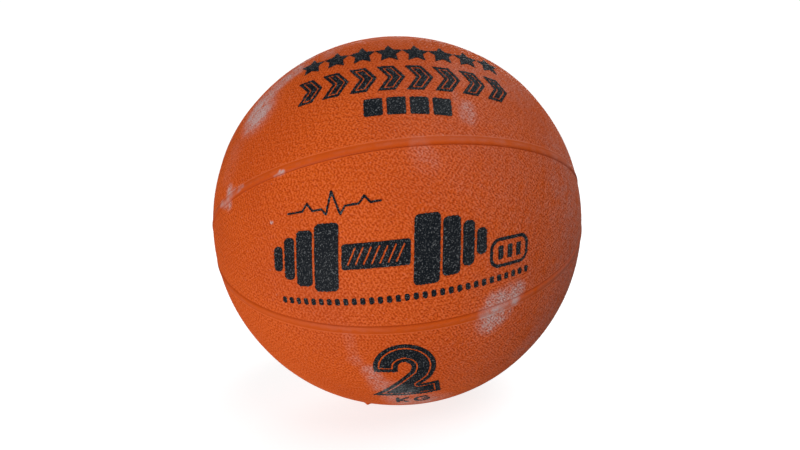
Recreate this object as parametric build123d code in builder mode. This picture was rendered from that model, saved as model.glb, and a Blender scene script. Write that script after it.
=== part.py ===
from build123d import *
import math
import os

os.makedirs("parts", exist_ok=True)

# Rubber medicine ball, 2 kg, eight gores with raised meridian ribs.
# Frame: origin at the centre of the ball, X along the pole axis, Z up, front at -Y.
# Gores and ribs are counted about X from the front (-Y) upward; gore 1 faces -Y.

# ---- driving dimensions (mm) ----
ball_dia = 215.0
cover_thk = 3.2
ballast_thk = 6.3
winding_thk = 0.8
bladder_thk = 1.2

gore_count = 8
gore_angle = 360.0 / gore_count

rib_width = 4.0
rib_rise = 0.3
crease_depth = 0.35
crease_flare = 0.45

pole_disc_rad = 14.0
pole_disc_rise = 0.2
disc_edge_round = 1.4

nib_base_rad = 1.9
nib_top_rad = 0.7
nib_rise = 1.0
nib_rib = 7
nib_latitude = 15.8

valve_head_rad = 4.0
valve_flange_rad = 9.0
valve_flange_thk = 1.6
head_recess = 0.5
needle_rad = 1.1
needle_depth = 8.0
needle_lead_rad = 1.9
needle_lead_depth = 0.8
plug_rad = 2.6

# ---- layer radii, outside to inside ----
cover_rad = ball_dia / 2
ballast_rad = cover_rad - cover_thk
winding_rad = ballast_rad - ballast_thk
bladder_rad = winding_rad - winding_thk
air_rad = bladder_rad - bladder_thk
crest_rad = cover_rad + rib_rise
disc_crest_rad = cover_rad + pole_disc_rise
crease_rad = cover_rad - crease_depth
flange_rad = air_rad - valve_flange_thk


def chord(radius, offset):
    """Distance along the axis where a sphere section stands `offset` away from that axis."""
    return math.sqrt(radius**2 - offset**2)


def radial(angle):
    """Unit vector at right angles to the pole axis, `angle` degrees above the front."""
    turn = math.radians(angle)
    return Vector(0, -math.cos(turn), math.sin(turn))


def side(angle):
    """Unit vector across a rib that stands `angle` degrees above the front."""
    turn = math.radians(angle)
    return Vector(0, math.sin(turn), math.cos(turn))


def gore_centre(index):
    """Angle of the middle of gore `index` (from 1)."""
    return (index - 1) * gore_angle


def rib_centre(index):
    """Angle of rib `index` (from 1); rib 1 lies between gores 1 and 2."""
    return (index - 0.5) * gore_angle


def meridian_plane(angle):
    """Sketch plane through the pole axis: local X is the axis, local Y points outward."""
    return Plane(origin=(0, 0, 0), x_dir=(1, 0, 0), z_dir=Vector(1, 0, 0).cross(radial(angle)))


def rib_plane(angle):
    """Sketch plane at the pole: local X runs across the rib, local Y points along the pole axis."""
    return Plane(origin=(0, 0, 0), x_dir=side(angle), z_dir=radial(angle) * -1)


def gore_profile():
    """Half-ring section of the cover from pole disc to pole disc, edges eased at the discs."""
    eased = pole_disc_rad + crease_flare
    outer_x = chord(cover_rad, eased)
    crease_x = chord(crease_rad, pole_disc_rad)
    inner_x = chord(ballast_rad, pole_disc_rad)
    with BuildLine() as outline:
        ThreePointArc((-outer_x, eased), (0, cover_rad), (outer_x, eased))
        Line((outer_x, eased), (crease_x, pole_disc_rad))
        Line((crease_x, pole_disc_rad), (inner_x, pole_disc_rad))
        ThreePointArc((inner_x, pole_disc_rad), (0, ballast_rad), (-inner_x, pole_disc_rad))
        Line((-inner_x, pole_disc_rad), (-crease_x, pole_disc_rad))
        Line((-crease_x, pole_disc_rad), (-outer_x, eased))
    return outline.line


def rib_profile():
    """Cross-section of a rib: base on the ballast, crowned top between two creases."""
    half = rib_width / 2
    base = chord(ballast_rad, half)
    with BuildLine() as outline:
        ThreePointArc((-half, base), (0, ballast_rad), (half, base))
        Line((half, base), (half, crease_rad))
        ThreePointArc((half, crease_rad), (0, crest_rad), (-half, crease_rad))
        Line((-half, crease_rad), (-half, base))
    return outline.line


def rib_slot_profile():
    """Section removed from the cover for a rib, flared at the top so the gore edge is eased."""
    half = rib_width / 2
    wide = half + 2 * crease_flare
    top = crease_rad + 2 * crease_depth
    with BuildLine() as outline:
        Polyline(
            (-half, 0),
            (half, 0),
            (half, crease_rad),
            (wide, top),
            (-wide, top),
            (-half, crease_rad),
            close=True,
        )
    return outline.line


def disc_profile(hole_rad):
    """Section of a pole disc: spherical base, raised face with a rounded edge, optional centre hole."""
    shoulder = pole_disc_rad - disc_edge_round
    edge_drop = pole_disc_rise + crease_depth
    round_rad = (disc_edge_round**2 + edge_drop**2) / (2 * edge_drop)
    middle = shoulder + disc_edge_round / 2
    middle_rad = disc_crest_rad - round_rad + chord(round_rad, disc_edge_round / 2)
    base_hole = (chord(ballast_rad, hole_rad), hole_rad)
    base_middle = (chord(ballast_rad, pole_disc_rad * 0.6), pole_disc_rad * 0.6)
    base_edge = (chord(ballast_rad, pole_disc_rad), pole_disc_rad)
    crease_edge = (chord(crease_rad, pole_disc_rad), pole_disc_rad)
    face_edge = (chord(disc_crest_rad, shoulder), shoulder)
    face_middle = (chord(disc_crest_rad, shoulder * 0.6), shoulder * 0.6)
    face_hole = (chord(disc_crest_rad, hole_rad), hole_rad)
    with BuildLine() as outline:
        ThreePointArc(base_hole, base_middle, base_edge)
        Line(base_edge, crease_edge)
        ThreePointArc(crease_edge, (chord(middle_rad, middle), middle), face_edge)
        ThreePointArc(face_edge, face_middle, face_hole)
        Line(face_hole, base_hole)
    return outline.line


def hemisphere_shell(outer_rad, inner_rad, toward):
    """Section of half a spherical shell on the +X side (toward=1) or the -X side (toward=-1)."""
    diagonal = math.sqrt(0.5)
    outer_middle = (toward * outer_rad * diagonal, outer_rad * diagonal)
    inner_middle = (toward * inner_rad * diagonal, inner_rad * diagonal)
    with BuildLine() as outline:
        ThreePointArc((0, outer_rad), outer_middle, (toward * outer_rad, 0))
        Line((toward * outer_rad, 0), (toward * inner_rad, 0))
        ThreePointArc((toward * inner_rad, 0), inner_middle, (0, inner_rad))
        Line((0, inner_rad), (0, outer_rad))
    return outline.line


# ---- outer cover: eight gores between the ribs ----
for index in range(1, gore_count + 1):
    middle = gore_centre(index)
    with BuildPart() as cover_panel:
        with BuildSketch(meridian_plane(middle + gore_angle / 2)):
            add(gore_profile())
            make_face()
        revolve(axis=Axis.X, revolution_arc=gore_angle)
        for edge_angle in (middle - gore_angle / 2, middle + gore_angle / 2):
            with BuildSketch(rib_plane(edge_angle)):
                add(rib_slot_profile())
                make_face()
            revolve(axis=Axis((0, 0, 0), side(edge_angle)), revolution_arc=360, mode=Mode.SUBTRACT)
    cover_panel.part.label = f"cover_panel_{index}"
    export_step(cover_panel.part, f"parts/cover_panel_{index}.step")

# ---- raised ribs on the eight meridians, one with the moulding nib ----
for index in range(1, gore_count + 1):
    angle = rib_centre(index)
    with BuildPart() as seam_rib:
        with BuildSketch(rib_plane(angle)):
            add(rib_profile())
            make_face()
        revolve(axis=Axis((0, 0, 0), side(angle) * -1), revolution_arc=180)
        if index == nib_rib:
            tilt = math.radians(nib_latitude)
            outward = radial(angle) * math.cos(tilt) - Vector(1, 0, 0) * math.sin(tilt)
            foot = crest_rad - crease_depth
            with BuildSketch(Plane(origin=outward * foot, z_dir=outward)):
                Circle(nib_base_rad)
            with BuildSketch(Plane(origin=outward * (crest_rad + nib_rise), z_dir=outward)):
                Circle(nib_top_rad)
            loft()
        Cylinder(pole_disc_rad, 3 * ball_dia, rotation=(0, 90, 0), mode=Mode.SUBTRACT)
    seam_rib.part.label = f"seam_rib_{index}"
    export_step(seam_rib.part, f"parts/seam_rib_{index}.step")

# ---- pole discs: one pierced for the valve, one plain ----
with BuildPart() as pole_disc_valve:
    with BuildSketch(Plane.XY):
        add(disc_profile(valve_head_rad))
        make_face()
    revolve(axis=Axis.X, revolution_arc=360)
pole_disc_valve.part.label = "pole_disc_valve"
export_step(pole_disc_valve.part, "parts/pole_disc_valve.step")

with BuildPart() as pole_disc_plain:
    with BuildSketch(Plane.XY):
        add(disc_profile(0.0))
        make_face()
    revolve(axis=Axis.X, revolution_arc=360)
    mirror(about=Plane.YZ, mode=Mode.REPLACE)
pole_disc_plain.part.label = "pole_disc_plain"
export_step(pole_disc_plain.part, "parts/pole_disc_plain.step")

# ---- weighted rubber carcass, two halves meeting on the YZ plane ----
with BuildPart() as ballast_half_valve:
    with BuildSketch(Plane.XY):
        add(hemisphere_shell(ballast_rad, winding_rad, 1))
        make_face()
    revolve(axis=Axis.X, revolution_arc=360)
    with Locations((ballast_rad, 0, 0)):
        Cylinder(valve_head_rad, 6 * ballast_thk, rotation=(0, 90, 0), mode=Mode.SUBTRACT)
ballast_half_valve.part.label = "ballast_half_valve"
export_step(ballast_half_valve.part, "parts/ballast_half_valve.step")

with BuildPart() as ballast_half_plain:
    with BuildSketch(Plane.XY):
        add(hemisphere_shell(ballast_rad, winding_rad, -1))
        make_face()
    revolve(axis=Axis.X, revolution_arc=360)
ballast_half_plain.part.label = "ballast_half_plain"
export_step(ballast_half_plain.part, "parts/ballast_half_plain.step")

# ---- wound nylon layer over the bladder, open at the valve ----
with BuildPart() as thread_winding:
    Sphere(winding_rad)
    Sphere(bladder_rad, mode=Mode.SUBTRACT)
    with Locations((bladder_rad, 0, 0)):
        Cylinder(valve_head_rad, 6 * winding_thk, rotation=(0, 90, 0), mode=Mode.SUBTRACT)
thread_winding.part.label = "thread_winding"
export_step(thread_winding.part, "parts/thread_winding.step")

# ---- air bladder, open at the valve ----
with BuildPart() as bladder:
    Sphere(bladder_rad)
    Sphere(air_rad, mode=Mode.SUBTRACT)
    with Locations((air_rad, 0, 0)):
        Cylinder(valve_head_rad, 6 * bladder_thk, rotation=(0, 90, 0), mode=Mode.SUBTRACT)
bladder.part.label = "bladder"
export_step(bladder.part, "parts/bladder.step")

# ---- rubber valve: head flush in the disc, stem through the wall, flange inside the bladder ----
head_x = chord(disc_crest_rad, valve_head_rad) - head_recess
plug_top_x = head_x - needle_depth
flange_x = chord(flange_rad, valve_flange_rad)
with BuildPart() as valve_body:
    with BuildSketch(Plane.XY):
        with BuildLine():
            Polyline(
                (plug_top_x, plug_rad),
                (plug_top_x, needle_rad),
                (head_x - needle_lead_depth, needle_rad),
                (head_x, needle_lead_rad),
                (head_x, valve_head_rad),
                (chord(air_rad, valve_head_rad), valve_head_rad),
            )
            ThreePointArc(
                (chord(air_rad, valve_head_rad), valve_head_rad),
                (chord(air_rad, valve_flange_rad * 0.75), valve_flange_rad * 0.75),
                (chord(air_rad, valve_flange_rad), valve_flange_rad),
            )
            Line((chord(air_rad, valve_flange_rad), valve_flange_rad), (flange_x, valve_flange_rad))
            Line((flange_x, valve_flange_rad), (flange_x, plug_rad))
            Line((flange_x, plug_rad), (plug_top_x, plug_rad))
        make_face()
    revolve(axis=Axis.X, revolution_arc=360)
valve_body.part.label = "valve_body"
export_step(valve_body.part, "parts/valve_body.step")

# ---- soft self-sealing plug behind the needle hole ----
with BuildPart() as valve_plug:
    with Locations(((plug_top_x + flange_x) / 2, 0, 0)):
        Cylinder(plug_rad, plug_top_x - flange_x, rotation=(0, 90, 0))
valve_plug.part.label = "valve_plug"
export_step(valve_plug.part, "parts/valve_plug.step")
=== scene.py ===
import math
import bpy
import numpy as np
from mathutils import Matrix, Vector


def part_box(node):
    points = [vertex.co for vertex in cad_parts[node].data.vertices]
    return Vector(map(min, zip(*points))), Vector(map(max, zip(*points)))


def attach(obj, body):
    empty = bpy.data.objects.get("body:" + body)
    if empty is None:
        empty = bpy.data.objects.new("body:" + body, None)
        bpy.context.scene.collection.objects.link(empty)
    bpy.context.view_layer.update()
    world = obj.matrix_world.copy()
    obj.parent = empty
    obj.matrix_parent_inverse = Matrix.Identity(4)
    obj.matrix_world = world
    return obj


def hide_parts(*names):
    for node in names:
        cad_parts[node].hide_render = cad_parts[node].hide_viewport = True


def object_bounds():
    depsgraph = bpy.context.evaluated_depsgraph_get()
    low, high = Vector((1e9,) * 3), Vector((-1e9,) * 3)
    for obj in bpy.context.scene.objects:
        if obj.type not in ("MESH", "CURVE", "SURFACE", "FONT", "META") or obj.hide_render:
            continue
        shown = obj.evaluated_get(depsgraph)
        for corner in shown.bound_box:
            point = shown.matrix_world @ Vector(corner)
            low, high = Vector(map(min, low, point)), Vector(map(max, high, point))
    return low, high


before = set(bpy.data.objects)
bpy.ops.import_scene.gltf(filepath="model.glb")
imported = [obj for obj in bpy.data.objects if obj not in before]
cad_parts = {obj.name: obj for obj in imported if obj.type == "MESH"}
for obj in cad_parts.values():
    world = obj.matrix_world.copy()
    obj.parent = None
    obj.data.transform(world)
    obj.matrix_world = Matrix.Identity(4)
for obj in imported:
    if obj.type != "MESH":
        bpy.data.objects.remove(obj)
cad_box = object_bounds()

# Rubber medicine ball. Metres, in the CAD frame: X is the pole axis, -Y the printed front, +Z up.
# A place on the ball is given by its latitude along the pole axis and its turn about that axis,
# both in degrees; turn 0 is the front, and it grows upward.

MM = 0.001
GORES = 8
GORE_TURN = 360 / GORES

COVER_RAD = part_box("cover_panel_3")[1].z
DISC_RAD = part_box("pole_disc_plain")[1].z
CARCASS_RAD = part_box("ballast_half_valve")[1].z
FLOOR_Z = cad_box[0].z

RIB_HALF = 2.0 * MM
RIB_RISE = 0.28 * MM
CREASE_DEPTH = 0.3 * MM
# Width of the painted crease shade on the cover beside a crisp edge.
CREASE_SHADE_FADE = 0.55 * MM
EDGE_ROUND = 0.6 * MM

PEBBLE_PITCH = 1.22 * MM
PEBBLE_DEPTH = 0.42 * MM
PEBBLE_STEP = 0.43 * MM
LUMP_PITCH = 3.2 * MM
INNER_STEP = 5 * MM

# The crests of the pebble stand an ink's thickness below the CAD cover, so print stays inside it.
INK_LIFT = 0.12 * MM
SKIN_RAD = COVER_RAD - INK_LIFT


# ---------------------------------------------------------------- places on the ball

def radial(turn):
    """Unit vectors at right angles to the pole axis, for turns in radians."""
    turn = np.asarray(turn, float)
    return np.stack([np.zeros_like(turn), -np.cos(turn), np.sin(turn)], axis=-1)


def side(turn):
    """Unit vectors across a meridian, in the direction of growing turn."""
    turn = np.asarray(turn, float)
    return np.stack([np.zeros_like(turn), np.sin(turn), np.cos(turn)], axis=-1)


def direction(latitude, turn):
    """Unit vectors from the centre, for angles in radians."""
    latitude = np.asarray(latitude, float)
    along = np.stack([np.sin(latitude), 0 * latitude, 0 * latitude], axis=-1)
    return along + np.cos(latitude)[..., None] * radial(turn)


def place(latitude, turn):
    """One unit vector from angles in degrees."""
    return direction(math.radians(latitude), math.radians(turn))


def plane_waves(seed, pitch, spread, count):
    """Wave vectors and phases of a random field whose features are about `pitch` apart."""
    rng = np.random.default_rng(seed)
    heading = rng.normal(size=(count, 3))
    heading /= np.linalg.norm(heading, axis=1)[:, None]
    rates = 2 * math.pi / pitch * rng.uniform(1 - spread, 1 + spread, count)
    return heading * rates[:, None], rng.uniform(0, 2 * math.pi, count)


def wave_field(points, waves):
    """Value of the random field at points, with a standard deviation of 1."""
    vectors, phases = waves
    total = np.zeros(len(points))
    for vector, phase in zip(vectors, phases):
        total += np.cos(points @ vector + phase)
    return total * math.sqrt(2 / len(phases))


def skin_field(unit, waves):
    """A random field on the ball made only of the waves that run along its skin at each place."""
    vectors, phases = waves
    total = np.zeros(len(unit))
    power = np.zeros(len(unit))
    for vector, phase in zip(vectors, phases):
        travel = unit @ vector
        weight = (1 - travel**2 / (vector @ vector)) ** 4
        total += weight * np.cos(travel * SKIN_RAD + phase)
        power += weight * weight
    return total / np.sqrt(power / 2)


PEBBLE = plane_waves(seed=11, pitch=PEBBLE_PITCH, spread=0.45, count=190)
LUMPS = plane_waves(seed=14, pitch=LUMP_PITCH, spread=0.35, count=40)
SWELL = plane_waves(seed=12, pitch=34 * MM, spread=0.5, count=16)
BREAKUP = plane_waves(seed=13, pitch=5.5 * MM, spread=0.6, count=40)


# ---------------------------------------------------------------- relief of the cover

def edge_distance(unit):
    """How far each place on the cover is from the nearest rib or disc, and how crisp that edge is.

    Odd gores end at a rib in a crisp crease; even gores run into the soft shoulder of the rib.
    """
    turn = np.arctan2(unit[:, 2], -unit[:, 1])
    gore = math.radians(GORE_TURN)
    nearest_rib = (np.floor(turn / gore) + 0.5) * gore
    from_rib = np.abs(np.sum(unit * side(nearest_rib), axis=1)) * COVER_RAD - RIB_HALF
    from_disc = np.hypot(unit[:, 1], unit[:, 2]) * COVER_RAD - DISC_RAD
    odd_gore = np.round(turn / gore).astype(int) % 2 == 0
    crisp = np.where((from_disc < from_rib) | odd_gore, 1.0, 0.0)
    return np.minimum(from_rib, from_disc), crisp


def smooth_step(value, low, high):
    """Eased rise from 0 at `low` to 1 at `high`."""
    part = np.clip((value - low) / (high - low), 0, 1)
    return part * part * (3 - 2 * part)


FINE_SHARE = 0.8
LUMP_SHARE = 0.2
CREST_BIAS = 0.1
BARE_EDGE = (0.1 * MM, 0.9 * MM)


def cover_relief(unit):
    """Radius of the pebbled cover in each direction, and how deep in a pit each place is (0 to 1),
    raised beside crisp creases to paint shade there.
    """
    distance, crisp = edge_distance(unit)
    rounding = np.clip(1 - distance / EDGE_ROUND, 0, 1)
    drop = crisp * CREASE_DEPTH * (1 - np.sqrt(1 - rounding**2))
    grain = FINE_SHARE * skin_field(unit, PEBBLE) + LUMP_SHARE * skin_field(unit, LUMPS)
    pit = 0.5 - 0.5 * np.tanh(grain + CREST_BIAS)
    pit *= smooth_step(distance, *BARE_EDGE)
    radius = SKIN_RAD - drop - PEBBLE_DEPTH * pit
    # The second value also paints shade: it rises beside crisp creases.
    return radius, np.maximum(pit, crisp * np.exp(-((distance / CREASE_SHADE_FADE) ** 2)))


# ---------------------------------------------------------------- chalk dust

# Scuffs of chalk, and last broad pale films that make the side towards the pole at positive latitude
# paler and greyer: start and end (latitude, turn), half-widths at both ends in mm, strength.
SCUFFS = (
    ((-38.2, 51.5), (-37.5, 56.5), 12.2, 12.2, 0.70),
    ((-35, 60), (-25, 63.5), 8.5, 7.5, 0.46),
    ((-27, 68), (-22, 73), 6.0, 6.0, 0.30),
    ((-14.5, 63), (-14, 70), 4.5, 5.0, 0.13),
    ((-52, 20), (-51.5, 26), 3.6, 3.8, 0.42),
    ((-57, 23), (-54, 21), 2.4, 2.6, 0.34),
    ((-50, 23.6), (-44, 23.3), 2.6, 1.2, 0.30),
    ((-50, 22.3), (-45, 22.4), 1.6, 0.9, 0.26),
    ((-48, 44), (-52, 36), 9.0, 9.0, 0.05),
    ((-32.2, 21.4), (-29.2, 21.7), 0.6, 1.2, 0.60),
    ((-30.3, 21.7), (-30.0, 22.6), 1.4, 0.4, 0.50),
    ((18.5, 29.5), (18.5, 32.5), 5.6, 5.6, 0.26),
    ((16.3, 34.5), (16.3, 38), 3.0, 2.6, 0.12),
    ((4.5, 21.5), (6.5, 17.5), 6.5, 7.5, 0.09),
    ((26.5, -19), (20, -20.5), 5.5, 7.0, 0.46),
    ((25.6, -21.8), (17.4, -22.8), 3.8, 4.8, 0.54),
    ((21, -24.5), (18.2, -26), 8.0, 8.0, 0.46),
    ((-17.5, -22.6), (-17.0, -30), 3.2, 3.4, 0.05),
    ((-16.6, -33.2), (-16.4, -33.6), 4.0, 4.0, 0.14),
    ((-13.2, -37), (-11.5, -43), 4.6, 5.6, 0.26),
    ((-9.5, -45.5), (-5, -48.5), 8.0, 8.5, 0.30),
    ((-7, -52), (-1, -60), 9.5, 17.0, 0.30),
    ((46, -19.6), (45, -19.6), 3.4, 3.4, 0.12),
    ((-34.5, 8.1), (-34.2, 8.1), 0.8, 0.8, 0.80),
    # From here on: broad pale films that only make that side and its edge paler and greyer.
    ((20, 47), (36, 52), 17.0, 26.0, 0.12),
    ((62, 12), (62, -42), 51.0, 66.0, 0.165),
    ((34, 40), (36, -40), 64.0, 64.0, 0.055),
    ((52, -32), (33, -50), 15.0, 17.0, 0.15),
)


def hidden_scuffs():
    """More of the same wear on the gores that face away from the front."""
    rng = np.random.default_rng(21)
    scuffs = []
    for _ in range(18):
        start = (rng.uniform(-60, 60), rng.uniform(80, 285))
        end = (start[0] + rng.uniform(-9, 9), start[1] + rng.uniform(-14, 14))
        widths = rng.uniform(1.5, 9.0, 2)
        scuffs.append((start, end, widths[0], widths[1], rng.uniform(0.08, 0.36)))
    return tuple(scuffs)


ALL_SCUFFS = SCUFFS + hidden_scuffs()
SCUFF_FALL = 1.5
SCUFF_RAGGED = 0.25


def chalk_cover(points):
    """How much chalk and pale film lie at each point, 0 to 1, broken up inside and at the edges of each
    scuff.
    """
    ragged = wave_field(points, BREAKUP)
    chalk = np.zeros(len(points))
    for start, end, start_width, end_width, strength in ALL_SCUFFS:
        begin = place(*start) * COVER_RAD
        run = place(*end) * COVER_RAD - begin
        along = np.clip((points - begin) @ run / (run @ run), 0, 1)
        away = np.linalg.norm(points - begin - along[:, None] * run, axis=1)
        width = (start_width + (end_width - start_width) * along) * MM
        bell = np.exp(-SCUFF_FALL * (away / width) ** 3)
        chalk = np.maximum(chalk, strength * bell * (1 + SCUFF_RAGGED * ragged))
    return np.clip(chalk, 0, 1)


# ---------------------------------------------------------------- mesh helpers

def zip_strip(lower, upper):
    """Triangles between two lines of vertex numbers that run side by side."""
    lower_at = np.linspace(0, 1, len(lower))[1:]
    upper_at = np.linspace(0, 1, len(upper))[1:]
    order = np.argsort(np.concatenate([lower_at, upper_at]), kind="stable")
    on_lower = order < len(lower_at)
    lower_now = np.concatenate([[0], np.cumsum(on_lower)[:-1]])
    upper_now = np.concatenate([[0], np.cumsum(~on_lower)[:-1]])
    lower = np.asarray(lower)
    upper = np.asarray(upper)
    lower_next = lower[np.minimum(lower_now + 1, len(lower) - 1)]
    upper_next = upper[np.minimum(upper_now + 1, len(upper) - 1)]
    third = np.where(on_lower, lower_next, upper_next)
    return np.stack([lower[lower_now], third, upper[upper_now]], axis=1)


def stitch(rows):
    """Triangles of the sheet that a list of rows of vertex numbers makes."""
    return np.concatenate([zip_strip(a, b) for a, b in zip(rows[:-1], rows[1:])])


def face_out(triangles, points, outward):
    """Turns triangles so that their normals agree with a vector, one for all or one for each point."""
    corners = points[triangles]
    normals = np.cross(corners[:, 1] - corners[:, 0], corners[:, 2] - corners[:, 0])
    outward = np.broadcast_to(outward, points.shape)[triangles[:, 0]]
    wrong = np.sum(normals * outward, axis=1) < 0
    triangles = triangles.copy()
    triangles[wrong] = triangles[wrong][:, ::-1]
    return triangles


def new_piece(name, points, triangles, material, attributes=()):
    """Adds a mesh object with per-vertex attributes, riding on the ball."""
    mesh = bpy.data.meshes.new(name)
    mesh.from_pydata(points, [], triangles)
    for key, values in attributes:
        layer = mesh.attributes.new(key, "FLOAT", "POINT")
        layer.data.foreach_set("value", np.asarray(values, np.float32))
    mesh.shade_smooth()
    mesh.materials.append(material)
    piece = bpy.data.objects.new(name, mesh)
    bpy.context.scene.collection.objects.link(piece)
    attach(piece, "root")
    return piece


# ---------------------------------------------------------------- node materials

class Graph:
    """A material's node tree, built by short calls that return output sockets."""

    def __init__(self, name):
        self.material = bpy.data.materials.new(name)
        self.material.use_nodes = True
        self.tree = self.material.node_tree
        self.shader = self.tree.nodes["Principled BSDF"]
        self.place = self.node("ShaderNodeTexCoord").outputs["Object"]

    def node(self, kind, **settings):
        made = self.tree.nodes.new(kind)
        for key, value in settings.items():
            setattr(made, key, value)
        return made

    def put(self, socket, value):
        """Links an output to a socket, or sets the socket to a constant."""
        if isinstance(value, bpy.types.NodeSocket):
            self.tree.links.new(value, socket)
        else:
            socket.default_value = value

    def sum(self, kind, *values):
        made = self.node("ShaderNodeMath", operation=kind)
        for socket, value in zip(made.inputs, values):
            self.put(socket, value)
        return made.outputs[0]

    def noise(self, size, detail=2.0, rough=0.5):
        """Noise whose features are about `size` metres across."""
        made = self.node("ShaderNodeTexNoise")
        self.put(made.inputs["Vector"], self.place)
        made.inputs["Scale"].default_value = 1 / size
        made.inputs["Detail"].default_value = detail
        made.inputs["Roughness"].default_value = rough
        return made.outputs["Fac"]

    def attribute(self, name):
        return self.node("ShaderNodeAttribute", attribute_name=name).outputs["Fac"]

    def span(self, value, low, high, to_low=0.0, to_high=1.0):
        """Eased step between two results as a value goes from `low` to `high`."""
        made = self.node("ShaderNodeMapRange", interpolation_type="SMOOTHSTEP")
        for socket, part in zip(made.inputs, (value, low, high, to_low, to_high)):
            self.put(socket, part)
        return made.outputs[0]

    def mix(self, factor, first, second):
        made = self.node("ShaderNodeMix", data_type="RGBA")
        self.put(made.inputs[0], factor)
        self.put(made.inputs[6], first)
        self.put(made.inputs[7], second)
        return made.outputs[2]

    def bump(self, height, depth):
        made = self.node("ShaderNodeBump")
        made.inputs["Strength"].default_value = 1.0
        made.inputs["Distance"].default_value = depth
        self.put(made.inputs["Height"], height)
        self.put(self.shader.inputs["Normal"], made.outputs[0])

    def finish(self, color, roughness, specular):
        self.put(self.shader.inputs["Base Color"], color)
        self.put(self.shader.inputs["Roughness"], roughness)
        self.shader.inputs["Specular IOR Level"].default_value = specular
        return self.material


def rgb(red, green, blue):
    return (red, green, blue, 1.0)


ORANGE = rgb(0.665, 0.102, 0.008)
ORANGE_DEEP = rgb(0.60, 0.086, 0.007)
# The pit orange paints shade in the pebble pits; on the ribs a share of it only darkens their tone.
ORANGE_PIT = rgb(0.405, 0.044, 0.002)
# The crease orange is painted shade in the rib creases.
ORANGE_CREASE_SHADE = rgb(0.30, 0.028, 0.001)
CHALK = rgb(0.47, 0.455, 0.46)
INK = rgb(0.004, 0.006, 0.009)
INK_WORN = rgb(0.008, 0.010, 0.013)
# The ink speck colour is a painted glint.
INK_PAINTED_GLINT = rgb(0.20, 0.205, 0.21)
INK_DUST = rgb(0.30, 0.31, 0.31)

CHALK_GRAIN = 0.6 * MM
CHALK_MOST = 0.66
# The crest film is a painted highlight on the pebble crests.
CREST_PAINTED_HIGHLIGHT = 0.045
# The crown film is dust and a painted highlight along the rib crowns.
CROWN_DUST_AND_HIGHLIGHT = 0.05
SMOOTH_SHIFT = 0.42
SMOOTH_PIT = 0.45


def chalk_opacity(graph, pit):
    """Chalk that catches the crests, thins out in the pits and breaks into grains."""
    grain = graph.sum("MULTIPLY_ADD", graph.noise(CHALK_GRAIN, 3.0), 2.6, -0.3)
    caught = graph.sum("MULTIPLY_ADD", pit, -1.3, 1.4)
    cover = graph.sum("MULTIPLY", graph.attribute("chalk"), graph.sum("MULTIPLY", grain, caught))
    return graph.sum("MINIMUM", cover, CHALK_MOST)


def pebbled_rubber():
    """Rubber of the gores: painted shade in the pits, a painted highlight on the crests."""
    graph = Graph("pebbled_orange_rubber")
    pit = graph.attribute("pit")
    tone = graph.mix(graph.span(graph.noise(45 * MM, 3.0), 0.3, 0.7), ORANGE, ORANGE_DEEP)
    # Painted shade: the pits, and the strip beside crisp creases, darken towards the pit orange.
    tone = graph.mix(graph.span(pit, 0.1, 1.0), tone, ORANGE_PIT)
    # Painted highlight: a pale film on the crests.
    tone = graph.mix(graph.span(pit, 0.0, 0.5, CREST_PAINTED_HIGHLIGHT, 0.0), tone, CHALK)
    specks = graph.span(graph.noise(1.1 * MM, 1.0), 0.7, 0.8, 0.0, 0.1)
    tone = graph.mix(specks, tone, CHALK)
    chalk = chalk_opacity(graph, pit)
    tone = graph.mix(chalk, tone, CHALK)
    rough = graph.span(graph.noise(9 * MM, 3.0), 0.3, 0.7, 0.38, 0.48)
    rough = graph.sum("MULTIPLY_ADD", pit, 0.3, rough)
    rough = graph.sum("MULTIPLY_ADD", chalk, 0.4, rough)
    graph.bump(graph.noise(0.9 * MM, 2.0, 0.6), 0.14 * MM)
    return graph.finish(tone, rough, 0.10)


def smooth_rubber(name):
    """Rubber of the ribs and discs: no pebble, painted shade in the crease, a pale crown film of dust
    and painted highlight.
    """
    graph = Graph(name)
    tone = graph.mix(graph.span(graph.noise(22 * MM, 3.0), 0.3, 0.7), ORANGE, ORANGE_DEEP)
    tone = graph.mix(SMOOTH_SHIFT, tone, ORANGE_PIT)
    # Painted shade in the crease and along the soft edge.
    tone = graph.mix(graph.attribute("pit"), tone, ORANGE_CREASE_SHADE)
    # Crown film: dust and a painted highlight along the top of the rib.
    film = graph.span(graph.noise(3.5 * MM, 4.0, 0.6), 0.3, 0.8, 0.0, CROWN_DUST_AND_HIGHLIGHT)
    tone = graph.mix(graph.sum("MULTIPLY", film, graph.attribute("crown")), tone, CHALK)
    chalk = chalk_opacity(graph, graph.sum("MULTIPLY_ADD", graph.attribute("pit"), 0.6, SMOOTH_PIT))
    tone = graph.mix(chalk, tone, CHALK)
    rough = graph.span(graph.noise(6 * MM, 3.0), 0.3, 0.7, 0.4, 0.52)
    rough = graph.sum("MULTIPLY_ADD", chalk, 0.4, rough)
    graph.bump(graph.noise(0.8 * MM, 3.0, 0.6), 0.02 * MM)
    return graph.finish(tone, rough, 0.09)


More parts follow.
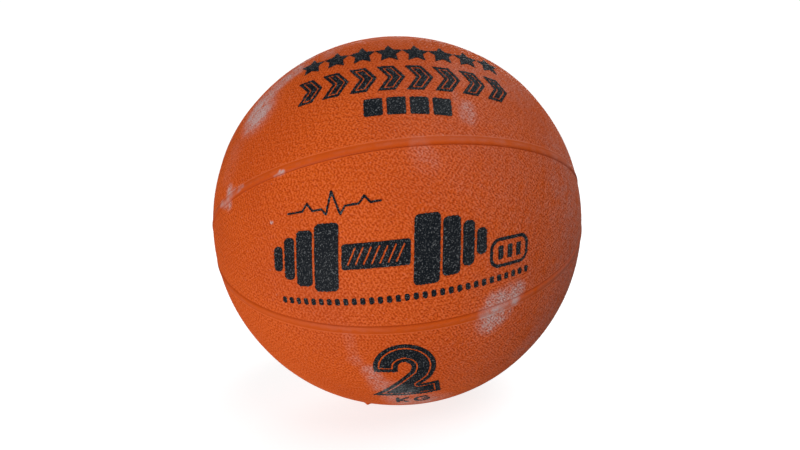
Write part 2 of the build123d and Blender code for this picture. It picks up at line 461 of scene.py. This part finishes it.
def printed_ink():
    """Black ink that follows the pebble, with pale specks painted on the crests as glints, and a broken
    gloss.
    """
    graph = Graph("printed_black_ink")
    pit = graph.attribute("pit")
    tone = graph.mix(graph.noise(6 * MM, 2.0), INK, INK_WORN)
    chalk = chalk_opacity(graph, pit)
    tone = graph.mix(graph.sum("MULTIPLY", chalk, 0.8), tone, INK_DUST)
    # Painted glints: pale specks on the crests of the ink.
    speck = graph.span(graph.noise(0.65 * MM, 1.0), 0.52, 0.70, 0.0, 0.7)
    tone = graph.mix(graph.sum("MULTIPLY", speck, graph.sum("SUBTRACT", 1.0, pit)), tone, INK_PAINTED_GLINT)
    glint = graph.span(graph.noise(0.6 * MM, 1.0), 0.45, 0.7, 0.46, 0.26)
    rough = graph.sum("MULTIPLY_ADD", chalk, 0.5, glint)
    graph.bump(graph.noise(0.6 * MM, 2.0), 0.14 * MM)
    return graph.finish(tone, rough, 0.035)


def plain_compound(name, color, other, size, roughness):
    """A mottled compound for the inner layers and the valve."""
    graph = Graph(name)
    tone = graph.mix(graph.span(graph.noise(size, 4.0), 0.35, 0.65), color, other)
    rough = graph.span(graph.noise(size / 3, 2.0), 0.3, 0.7, roughness - 0.06, roughness + 0.06)
    graph.bump(graph.noise(size / 6, 3.0), 0.05 * MM)
    return graph.finish(tone, rough, 0.4)


THREAD_TILTS = (25, 85, 145)
THREAD_PITCH = 7 * MM


def wound_thread():
    """Nylon thread laid round the bladder in crossing bands."""
    graph = Graph("wound_nylon_thread")
    bands = []
    for tilt in THREAD_TILTS:
        turned = graph.node("ShaderNodeVectorRotate", rotation_type="X_AXIS")
        graph.put(turned.inputs["Vector"], graph.place)
        turned.inputs["Angle"].default_value = math.radians(tilt)
        wave = graph.node("ShaderNodeTexWave", wave_type="BANDS", bands_direction="Z")
        graph.put(wave.inputs["Vector"], turned.outputs[0])
        wave.inputs["Scale"].default_value = 1 / THREAD_PITCH
        wave.inputs["Distortion"].default_value = 1.2
        bands.append(wave.outputs["Fac"])
    lay = graph.sum("MAXIMUM", graph.sum("MAXIMUM", bands[0], bands[1]), bands[2])
    tone = graph.mix(graph.span(lay, 0.5, 1.0), rgb(0.36, 0.31, 0.24), rgb(0.66, 0.62, 0.54))
    graph.bump(lay, 0.4 * MM)
    return graph.finish(tone, 0.7, 0.3)


# ---------------------------------------------------------------- cover gores

END_STEPS = np.array([0.0, 0.12, 0.28]) * MM


def eased_steps(length, step):
    """Positions along a line, closer together where both its ends are rounded off."""
    count = max(3, round((length - 2 * EDGE_ROUND) / step) + 1)
    middle = np.linspace(EDGE_ROUND, length - EDGE_ROUND, count)
    return np.concatenate([END_STEPS, middle, length - END_STEPS[::-1]])


def gore_rows(step):
    """Directions over one gore centred on the front, as a list of rows from disc to disc."""
    reach = math.acos(DISC_RAD / COVER_RAD)
    latitudes = eased_steps(2 * reach * COVER_RAD, step) / COVER_RAD - reach
    rows = []
    for latitude in latitudes:
        ring = COVER_RAD * math.cos(latitude)
        half_turn = math.radians(GORE_TURN / 2) - math.asin(RIB_HALF / ring)
        turns = eased_steps(2 * half_turn * ring, step) / ring - half_turn
        rows.append(direction(np.full(len(turns), latitude), turns))
    return rows


def numbered(rows, start):
    """Vertex numbers for rows of points laid end to end from `start`."""
    counts = np.cumsum([start] + [len(row) for row in rows])
    return [np.arange(a, b) for a, b in zip(counts[:-1], counts[1:])]


def gore_shape():
    """Directions and triangles shared by all gores: outer sheet, four walls and inner sheet."""
    outer = gore_rows(PEBBLE_STEP)
    inner = gore_rows(INNER_STEP)
    outer_rows = numbered(outer, 0)
    outer_unit = np.concatenate(outer)
    inner_rows = numbered(inner, len(outer_unit))
    inner_unit = np.concatenate(inner)
    unit = np.concatenate([outer_unit, inner_unit])
    points = np.concatenate([outer_unit * COVER_RAD, inner_unit * CARCASS_RAD])
    half = math.radians(GORE_TURN / 2)
    patches = [
        face_out(stitch(outer_rows), points, unit),
        face_out(stitch(inner_rows), points, -unit),
    ]
    for end, outward in ((0, (-1, 0, 0)), (-1, (1, 0, 0))):
        patches.append(face_out(zip_strip(outer_rows[end], inner_rows[end]), points, outward))
    for end, outward in ((0, -side(-half)), (-1, side(half))):
        outer_edge = [row[end] for row in outer_rows]
        inner_edge = [row[end] for row in inner_rows]
        patches.append(face_out(zip_strip(outer_edge, inner_edge), points, outward))
    return outer_unit, inner_unit, np.concatenate(patches)


def turned(unit, angle):
    """Directions turned about the pole axis by an angle in degrees."""
    spin = np.array(Matrix.Rotation(-math.radians(angle), 3, "X"))
    return unit @ spin.T


def make_gores(material):
    """Pebbled gores, all of one pattern of triangles, in place of the CAD gores."""
    outer_unit, inner_unit, triangles = gore_shape()
    for index in range(1, GORES + 1):
        angle = (index - 1) * GORE_TURN
        outer = turned(outer_unit, angle)
        inner = turned(inner_unit, angle)
        radius, pit = cover_relief(outer)
        points = np.concatenate([outer * radius[:, None], inner * CARCASS_RAD])
        blank = np.zeros(len(inner))
        attributes = (
            ("pit", np.concatenate([pit, blank])),
            ("chalk", np.concatenate([chalk_cover(outer * COVER_RAD), blank])),
        )
        piece = new_piece(f"gore_{index}", points, triangles, material, attributes)
        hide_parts(f"cover_panel_{index}")


# ---------------------------------------------------------------- ribs

RIB_STEP = 0.4 * MM
SECTION_COUNT = 25
BASE_COUNT = 3
CAP_COUNT = 2
SHOULDER_END = 0.85
RIB_WOBBLE = 0.03 * MM
CROWN_FROM = 0.1 * MM
RIB_CLEAN = 0.03

NIB_RIB = 7
NIB_LATITUDE = -15.8
NIB_RISE = 1.0 * MM
NIB_REACH = 1.25 * MM


def bump_curve(value, middle, width):
    """A bell of height 1."""
    return np.exp(-(((value - middle) / width) ** 2))


def rib_section():
    """Offsets across a rib from crisp edge to soft edge, and the height of its skin over the cover."""
    across = np.sin(np.linspace(-math.pi / 2, math.pi / 2, SECTION_COUNT))
    crisp_side = np.clip(-across, 0, 1)
    soft_side = np.clip(across / SHOULDER_END, 0, 1)
    steep = np.cos(0.5 * math.pi * crisp_side**1.4) * (RIB_RISE + CREASE_DEPTH) - CREASE_DEPTH
    gentle = (0.5 + 0.5 * np.cos(math.pi * soft_side)) * RIB_RISE
    return across * RIB_HALF, np.where(across < 0, steep, gentle)


def rib_shades(section):
    """Painted shade in the crease and at the soft edge, and a crown film of dust and painted highlight,
    across a rib.
    """
    crease = 0.44 * bump_curve(section, -RIB_HALF, 0.75 * MM)
    crease += 0.12 * bump_curve(section, 1.5 * MM, 0.5 * MM)
    return crease, bump_curve(section, 0.1 * MM, 0.85 * MM)


def along_rib(shades, count):
    """Values for every vertex of a rib from the values across its skin; its base and caps get none."""
    ring = np.concatenate([shades, np.zeros(BASE_COUNT)])
    return np.concatenate([np.tile(ring, count), np.zeros(CAP_COUNT)])


def rib_skin(spine, height):
    """Radius of a rib's skin along and across it, with slow dips along its crown."""
    dips = np.minimum(RIB_WOBBLE * wave_field(spine * COVER_RAD, SWELL), 0)
    return SKIN_RAD + height[None, :] + dips[:, None] * (height > CROWN_FROM)


def nib_rise(spine, across, turn):
    """How far the moulding nib lifts the skin of its rib."""
    nib = place(NIB_LATITUDE, math.degrees(turn))
    ground = spine[:, None, :] * COVER_RAD + across[None, :, None] * side(turn)
    away = np.linalg.norm(ground - nib * COVER_RAD, axis=2)
    return NIB_RISE * bump_curve(away, 0, NIB_REACH)


def capped_tube(grid, spine):
    """Points and triangles of a tube: a grid of rings of points round a spine, and a cap at each end."""
    count, ring = grid.shape[:2]
    points = grid.reshape(-1, 3)
    loops = [np.append(np.arange(ring), 0) + row * ring for row in range(count)]
    patches = [face_out(stitch(loops), points, points - np.repeat(spine, ring, axis=0))]
    centres = np.stack([grid[0].mean(axis=0), grid[-1].mean(axis=0)])
    points = np.concatenate([points, centres])
    for cap, row, outward in ((0, 0, (-1, 0, 0)), (1, -1, (1, 0, 0))):
        rim = loops[row]
        centre = np.full(ring, count * ring + cap)
        fan = np.stack([rim[:-1], rim[1:], centre], axis=1)
        patches.append(face_out(fan, points, outward))
    return points, np.concatenate(patches)


def make_ribs(material):
    """Raised ribs, crisp on the side of the odd gores, in place of the CAD ribs."""
    section, height = rib_section()
    crease, crown = rib_shades(section)
    reach = math.acos(DISC_RAD / COVER_RAD)
    count = round(2 * reach * COVER_RAD / RIB_STEP)
    latitudes = np.linspace(-reach, reach, count)
    for index in range(1, GORES + 1):
        turn = math.radians((index - 0.5) * GORE_TURN)
        across = section if index % 2 == 1 else -section
        spine = direction(latitudes, np.full(count, turn))
        skin = rib_skin(spine, height)
        if index == NIB_RIB:
            skin += nib_rise(spine, across, turn)
        radius = np.concatenate([skin, np.full((count, BASE_COUNT), CARCASS_RAD)], axis=1)
        offsets = np.concatenate([across, [across[-1], 0, across[0]]])
        out = np.sqrt(radius**2 - offsets**2)
        grid = spine[:, None, :] * out[:, :, None] + offsets[None, :, None] * side(turn)
        points, triangles = capped_tube(grid, spine * (COVER_RAD + CARCASS_RAD) / 2)
        attributes = (
            # On the ribs the pit attribute carries painted shade for the crease and the soft edge.
            ("pit", along_rib(crease, count)),
            ("crown", along_rib(crown, count)),
            ("chalk", np.maximum(chalk_cover(points) - RIB_CLEAN, 0)),
        )
        piece = new_piece(f"rib_{index}", points, triangles, material, attributes)
        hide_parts(f"seam_rib_{index}")


# ---------------------------------------------------------------- print
# A printed mark is a signed distance in mm over flat coordinates u (along the ribs) and v (across),
# negative where there is ink. Each sheet of marks is wrapped on the ball round its own middle.

def box(u, v, centre, size, corner):
    """Signed distance to a rectangle with rounded corners."""
    du = np.abs(u - centre[0]) - size[0] / 2 + corner
    dv = np.abs(v - centre[1]) - size[1] / 2 + corner
    outside = np.hypot(np.maximum(du, 0), np.maximum(dv, 0))
    return outside + np.minimum(np.maximum(du, dv), 0) - corner


def polygon(u, v, outline):
    """Signed distance to a closed outline."""
    outline = np.asarray(outline, float)
    distance = np.full(u.shape, np.inf)
    inside = np.zeros(u.shape, bool)
    for (au, av), (bu, bv) in zip(outline, np.roll(outline, -1, axis=0)):
        eu, ev = bu - au, bv - av
        wu, wv = u - au, v - av
        part = np.clip((wu * eu + wv * ev) / (eu * eu + ev * ev), 0, 1)
        distance = np.minimum(distance, np.hypot(wu - part * eu, wv - part * ev))
        crosses = (av > v) != (bv > v)
        level = np.where(crosses, (v - av) / np.where(ev == 0, 1, ev), 0)
        inside ^= crosses & (u < au + level * eu)
    return np.where(inside, -distance, distance)


def stroke(u, v, points, width):
    """Signed distance to an open line of the given width, round at its ends."""
    distance = np.full(u.shape, np.inf)
    for (au, av), (bu, bv) in zip(points[:-1], points[1:]):
        eu, ev = bu - au, bv - av
        part = np.clip(((u - au) * eu + (v - av) * ev) / (eu * eu + ev * ev), 0, 1)
        distance = np.minimum(distance, np.hypot(u - au - part * eu, v - av - part * ev))
    return distance - width / 2


def inlined(shape, border, gap):
    """Takes a thin line out of a shape, a border's width inside its edge."""
    line = np.abs(shape + border + gap / 2) - gap / 2
    return np.maximum(shape, -line)


def arc(centre, radii, start, end, count=24):
    """Points on an ellipse between two angles in degrees."""
    angles = np.radians(np.linspace(start, end, count))
    return [(centre[0] + radii[0] * math.cos(a), centre[1] + radii[1] * math.sin(a)) for a in angles]


def star(centre, radii, waist=0.52):
    """Outline of a five-pointed star."""
    points = []
    for tip in range(10):
        reach = 1 if tip % 2 == 0 else waist
        angle = math.radians(90 + 36 * tip)
        out_u = radii[0] * reach * math.cos(angle)
        out_v = radii[1] * reach * math.sin(angle)
        points.append((centre[0] + out_u, centre[1] + out_v))
    return points


def chevron(centre, size, arm):
    """Outline of a chevron that points along u."""
    half_u, half_v = size[0] / 2, size[1] / 2
    tip = half_u - arm
    places = (
        (-half_u, half_v),
        (-half_u + arm, half_v),
        (half_u, 0),
        (-half_u + arm, -half_v),
        (-half_u, -half_v),
        (tip, 0),
    )
    return [(centre[0] + pu, centre[1] + pv) for pu, pv in places]


TITLE_TILT = math.radians(-3.2)
TITLE_COUNT = 8
TITLE_PITCH = 40 / 3
TITLE_BOW = 6.0
LINE_HALF = 52.0
STAR_LINE = 17.8
STAR_SIZE = (7.2, 10.0)
CHEVRON_LINE = -4.4
CHEVRON_SIZE = (13.4, 18.0)
CHEVRON_ARM = 8.2
CHEVRON_BOW = 0.55
BLOCK_COUNT = 4
BLOCK_LINE = -22.8
BLOCK_PITCH = 10.6
BLOCK_SIZE = (8.8, 10.0)


def spaced(count, pitch):
    """Places of evenly spaced marks about zero."""
    return [(step - (count - 1) / 2) * pitch for step in range(count)]


def title_marks(u, v):
    """Upper gore: a bowed line of stars, a bowed line of chevrons and a short line of blocks."""
    u, v = (
        u * math.cos(TITLE_TILT) + v * math.sin(TITLE_TILT),
        v * math.cos(TITLE_TILT) - u * math.sin(TITLE_TILT),
    )
    bow = TITLE_BOW * (u / LINE_HALF) ** 2
    marks = np.full(u.shape, np.inf)
    for at in spaced(TITLE_COUNT, TITLE_PITCH):
        badge = polygon(u, v - bow, star((at, STAR_LINE), STAR_SIZE))
        arrow = chevron((at, CHEVRON_LINE), CHEVRON_SIZE, CHEVRON_ARM)
        arrow = polygon(u, v - CHEVRON_BOW * bow, arrow)
        marks = np.minimum(marks, badge)
        marks = np.minimum(marks, inlined(arrow, border=1.6, gap=0.6))
    for at in spaced(BLOCK_COUNT, BLOCK_PITCH):
        marks = np.minimum(marks, box(u, v, (at, BLOCK_LINE), BLOCK_SIZE, corner=0.8))
    return marks


PULSE_LINE = (
    (-48.0, 23.0),
    (-40.5, 23.6),
    (-38.0, 27.0),
    (-35.5, 23.4),
    (-31.0, 23.8),
    (-29.0, 21.4),
    (-25.8, 31.5),
    (-22.4, 20.8),
    (-20.0, 24.4),
    (-13.5, 24.8),
    (-11.0, 28.0),
    (-8.5, 24.8),
    (-4.0, 25.2),
)
PULSE_WIDTH = 1.0

MARK_LEAN = 0.12
BAR_AT = (-9.0, 2.0)
PLATES = ((47.5, 5.0, 12.0), (41.2, 5.6, 20.0), (33.3, 8.2, 26.0), (22.4, 11.6, 31.0))
GRIP_SIZE = (30.4, 11.5)
GRIP_CUTS = 7
CUT_PITCH = 3.6
CUT_REACH = (1.6, 3.6)
CUT_WIDTH = 0.7
TAG_AT = (53.5, -5.2)
TAG_SIZE = (21.5, 14.0)
TAG_BAR = (2.8, 6.4)
TAG_PITCH = 5.0
RING_HALF = 0.8
RULE_COUNT = 31
RULE_START = -56.5
RULE_PITCH = 3.95
RULE_DOT = (2.3, 3.4)
RULE_LEVEL = -19.6
RULE_SLOPE = 0.017
RULE_BEND = 0.000315


def dumbbell(u, v):
    """A dumbbell whose plates are given as distance from its middle, width and height."""
    marks = box(u, v, BAR_AT, GRIP_SIZE, corner=1.2)
    for offset, width, height in PLATES:
        for middle in (BAR_AT[0] - offset, BAR_AT[0] + offset):
            plate = box(u, v, (middle, BAR_AT[1]), (width, height), corner=2.2)
            marks = np.minimum(marks, plate)
    for at in spaced(GRIP_CUTS, CUT_PITCH):
        low = (BAR_AT[0] + at - CUT_REACH[0], BAR_AT[1] - CUT_REACH[1])
        high = (BAR_AT[0] + at + CUT_REACH[0], BAR_AT[1] + CUT_REACH[1])
        marks = np.maximum(marks, -stroke(u, v, (low, high), CUT_WIDTH))
    return marks


def ringed_tag(u, v):
    """A rounded ring round three short bars."""
    ring = box(u, v, TAG_AT, TAG_SIZE, corner=5.0)
    marks = np.abs(ring + RING_HALF) - RING_HALF
    for at in spaced(3, TAG_PITCH):
        bar = box(u, v, (TAG_AT[0] + at, TAG_AT[1]), TAG_BAR, corner=0.6)
        marks = np.minimum(marks, bar)
    return marks


def dotted_rule(u, v):
    """A row of dots that rises along the ribs in a shallow curve."""
    level = RULE_LEVEL + RULE_SLOPE * (u + 58) + RULE_BEND * (u - 2) ** 2
    marks = np.full(u.shape, np.inf)
    for step in range(RULE_COUNT):
        at = RULE_START + RULE_PITCH * step
        marks = np.minimum(marks, box(u, v - level, (at, 0.0), RULE_DOT, corner=0.9))
    return marks


def dumbbell_marks(u, v):
    """Front gore: a dumbbell and a ringed tag, with a pulse line above and a dotted rule below."""
    lean = u - MARK_LEAN * v
    marks = np.minimum(dumbbell(lean, v), ringed_tag(lean, v))
    marks = np.minimum(marks, stroke(u, v, PULSE_LINE, PULSE_WIDTH))
    return np.minimum(marks, dotted_rule(u, v))


NUMERAL = (
    arc((-0.5, 8.0), (15.0, 16.0), 192, -18)
    + [(12.2, -1.5), (9.6, -5.0), (6.4, -8.2), (15.6, -6.8)]
    + [(16.8, -20.2), (-18.2, -21.4), (2.0, 4.6)]
    + arc((-0.5, 8.2), (3.3, 4.0), -30, 180, 12)
    + [(-3.8, 4.8)]
)


UNIT_LINE = -30.0
UNIT_HALF = 4.2
UNIT_WIDTH = 1.9


def weight_marks(u, v):
    """Lower gore: a large numeral with a thin line inside its edge, and the unit under it."""
    marks = inlined(polygon(u, v, NUMERAL), border=2.3, gap=0.75)
    low, high = UNIT_LINE - UNIT_HALF, UNIT_LINE + UNIT_HALF
    stem = ((-5.6, low), (-5.6, high))
    arm = ((-0.6, high), (-5.0, UNIT_LINE), (-0.6, low))
    curve = arc((7.2, UNIT_LINE), (3.6, UNIT_HALF), 48, 330, 16)
    curve += [(10.6, UNIT_LINE), (7.6, UNIT_LINE)]
    for line in (stem, arm, curve):
        marks = np.minimum(marks, stroke(u, v, line, UNIT_WIDTH))
    return marks


def clip_cells(values, shape):
    """Points in grid units and faces of the part of a grid of cells where a field is below zero."""
    rows, columns = shape
    points = []
    faces = []
    known = {}

    def number(key, place_at):
        if key not in known:
            known[key] = len(points)
            points.append(place_at)
        return known[key]

    field = values.tolist()
    for row in range(rows - 1):
        for column in range(columns - 1):
            corners = ((row, column), (row, column + 1), (row + 1, column + 1), (row + 1, column))
            levels = [field[a][b] for a, b in corners]
            if min(levels) >= 0:
                continue
            loop = []
            for at in range(4):
                here, there = corners[at], corners[(at + 1) % 4]
                level, ahead = levels[at], levels[(at + 1) % 4]
                if level < 0:
                    loop.append(number(here, here))
                if (level < 0) != (ahead < 0):
                    cut = level / (level - ahead)
                    spot_row = here[0] + cut * (there[0] - here[0])
                    spot_column = here[1] + cut * (there[1] - here[1])
                    edge = (min(here, there), max(here, there))
                    loop.append(number(edge, (spot_row, spot_column)))
            if len(loop) >= 3:
                faces.append(loop)
    return np.array(points, float), faces


def wrapped(flat_u, flat_v, middle):
    """Directions on the ball of places in mm on a flat sheet laid at `middle` (latitude, turn)."""
    latitude, turn = math.radians(middle[0]), math.radians(middle[1])
    centre = direction(latitude, turn)
    along = np.array([math.cos(latitude), 0, 0]) - math.sin(latitude) * radial(turn)
    reach = np.hypot(flat_u, flat_v)
    angle = reach * MM / COVER_RAD
    heading = flat_u[:, None] * along + flat_v[:, None] * side(turn)
    heading /= np.maximum(reach, 1e-6)[:, None]
    return np.cos(angle)[:, None] * centre + np.sin(angle)[:, None] * heading


INK_STEP = 0.4 * MM
INK_RAGGED = 0.3
INK_FILL = 0.35

# Sheets: name, marks, middle (latitude, turn), lowest and highest (u, v).
SHEETS = (
    ("title_print", title_marks, (4.5, 45), (-64, -34), (64, 36)),
    ("front_print", dumbbell_marks, (-3.5, -4), (-66, -26), (70, 34)),
    ("weight_print", weight_marks, (-4, -40), (-22, -38), (20, 28)),
)


def make_print(name, marks, middle, low, high, material):
    """Wraps a sheet of marks on the pebbled cover, ragged at its edges and thicker over the pits."""
    columns = round((high[0] - low[0]) * MM / INK_STEP) + 1
    rows = round((high[1] - low[1]) * MM / INK_STEP) + 1
    u, v = np.meshgrid(np.linspace(low[0], high[0], columns), np.linspace(low[1], high[1], rows))
    pit = cover_relief(wrapped(u.ravel(), v.ravel(), middle))[1].reshape(u.shape)
    spots, faces = clip_cells(marks(u, v) + INK_RAGGED * (pit - 0.4), u.shape)
    flat_u = low[0] + spots[:, 1] * (high[0] - low[0]) / (columns - 1)
    flat_v = low[1] + spots[:, 0] * (high[1] - low[1]) / (rows - 1)
    unit = wrapped(flat_u, flat_v, middle)
    radius, pit = cover_relief(unit)
    radius += INK_LIFT + INK_FILL * PEBBLE_DEPTH * pit
    points = unit * radius[:, None]
    chalk = chalk_cover(unit * COVER_RAD)
    piece = new_piece(name, points, faces, material, (("pit", pit), ("chalk", chalk)))


# ---------------------------------------------------------------- stage, light and camera

FLOOR_GLOW = 0.80
FLOOR_REACH = 12.0


def make_floor():
    """A pale, glowing floor that neither lights nor shades the ball."""
    graph = Graph("pale_floor")
    tone = graph.mix(graph.noise(0.4, 2.0), rgb(0.40, 0.40, 0.40), rgb(0.44, 0.44, 0.44))
    mesh = bpy.data.meshes.new("floor")
    signs = ((-1, -1), (1, -1), (1, 1), (-1, 1))
    corners = [(x * FLOOR_REACH, y * FLOOR_REACH, FLOOR_Z) for x, y in signs]
    mesh.from_pydata(corners, [], [(0, 1, 2, 3)])
    graph.shader.inputs["Emission Color"].default_value = rgb(1, 1, 1)
    graph.shader.inputs["Emission Strength"].default_value = FLOOR_GLOW
    mesh.materials.append(graph.finish(tone, 0.9, 0.1))
    floor = bpy.data.objects.new("floor", mesh)
    floor.visible_diffuse = False
    floor.visible_glossy = False
    floor.visible_shadow = False
    bpy.context.scene.collection.objects.link(floor)


SUN_ANGLE = math.radians(50)


def make_lamp(name, position, power, tint):
    """A wide sun lamp that points at the ball."""
    lamp = bpy.data.lights.new(name, "SUN")
    lamp.energy = power
    lamp.color = tint
    lamp.angle = SUN_ANGLE
    holder = bpy.data.objects.new(name, lamp)
    holder.location = position
    holder.rotation_euler = (-Vector(position)).to_track_quat("-Z", "Y").to_euler()
    bpy.context.scene.collection.objects.link(holder)


SKY_LIGHT = 0.13
SKY_SEEN = 1.05

# Lamps: name, where it shines from, power, tint.
SUNS = (
    ("low_left_light", (-0.64, -0.66, -0.39), 2.91, (1.0, 1.0, 1.0)),
    ("high_right_light", (0.41, -0.42, 0.81), 1.94, (0.97, 1.03, 1.06)),
    ("back_light", (0.1, 1.0, 0.25), 2.2, (1.0, 1.0, 1.0)),
)


def make_light():
    """A pale sky, dimmer as a light than it looks, and three wide soft lamps."""
    world = bpy.data.worlds.new("pale_studio")
    world.use_nodes = True
    bpy.context.scene.world = world
    tree = world.node_tree
    backdrop = tree.nodes["Background"]
    seen = tree.nodes.new("ShaderNodeLightPath").outputs["Is Camera Ray"]
    level = tree.nodes.new("ShaderNodeMapRange")
    level.inputs["To Min"].default_value = SKY_LIGHT
    level.inputs["To Max"].default_value = SKY_SEEN
    tree.links.new(seen, level.inputs["Value"])
    tree.links.new(level.outputs[0], backdrop.inputs["Strength"])
    backdrop.inputs["Color"].default_value = (1, 1, 1, 1)
    for sun in SUNS:
        make_lamp(*sun)
    bpy.context.scene.view_settings.view_transform = "Standard"


CAMERA_AZIMUTH = -2.36
CAMERA_ELEVATION = 4.42
CAMERA_ROLL = 6.5
CAMERA_DISTANCE = 3.281
CAMERA_LENS = 25.96
CAMERA_SHIFT = (0.0035, -0.0057)


def make_camera():
    """Camera close to the ball, rolled a little so that the pole axis rises to the right."""
    azimuth, elevation = math.radians(CAMERA_AZIMUTH), math.radians(CAMERA_ELEVATION)
    back = Vector((
        math.sin(azimuth) * math.cos(elevation),
        -math.cos(azimuth) * math.cos(elevation),
        math.sin(elevation),
    ))
    level = (-back).to_track_quat("-Z", "Y")
    lens = bpy.data.cameras.new("camera")
    lens.lens = CAMERA_LENS
    lens.shift_x, lens.shift_y = CAMERA_SHIFT
    lens.clip_start = 0.01
    camera = bpy.data.objects.new("camera", lens)
    camera.rotation_mode = "QUATERNION"
    roll = Matrix.Rotation(-math.radians(CAMERA_ROLL), 3, "Z").to_quaternion()
    camera.rotation_quaternion = level @ roll
    camera.location = back * (CAMERA_DISTANCE * COVER_RAD)
    bpy.context.scene.collection.objects.link(camera)
    bpy.context.scene.camera = camera


# ---------------------------------------------------------------- assembly

make_camera()
make_light()
make_floor()

make_gores(pebbled_rubber())
make_ribs(smooth_rubber("smooth_orange_rubber"))

ink = printed_ink()
for sheet in SHEETS:
    make_print(*sheet, ink)

BLACK = rgb(0.020, 0.020, 0.021)
BLACK_WORN = rgb(0.045, 0.043, 0.042)
GREY = rgb(0.10, 0.095, 0.09)
node_materials = {
    "pole_disc_valve": smooth_rubber("disc_orange_rubber"),
    "valve_body": plain_compound("valve_black_rubber", BLACK, BLACK_WORN, 3 * MM, 0.5),
    "ballast_half_valve": plain_compound("filled_ballast_rubber", BLACK_WORN, GREY, 5 * MM, 0.8),
    "thread_winding": wound_thread(),
    "bladder": plain_compound("butyl_rubber", BLACK, BLACK_WORN, 12 * MM, 0.4),
}
node_materials["pole_disc_plain"] = node_materials["pole_disc_valve"]
node_materials["ballast_half_plain"] = node_materials["ballast_half_valve"]
node_materials["valve_plug"] = node_materials["bladder"]
for node, material in node_materials.items():
    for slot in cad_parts[node].material_slots:
        slot.material = material
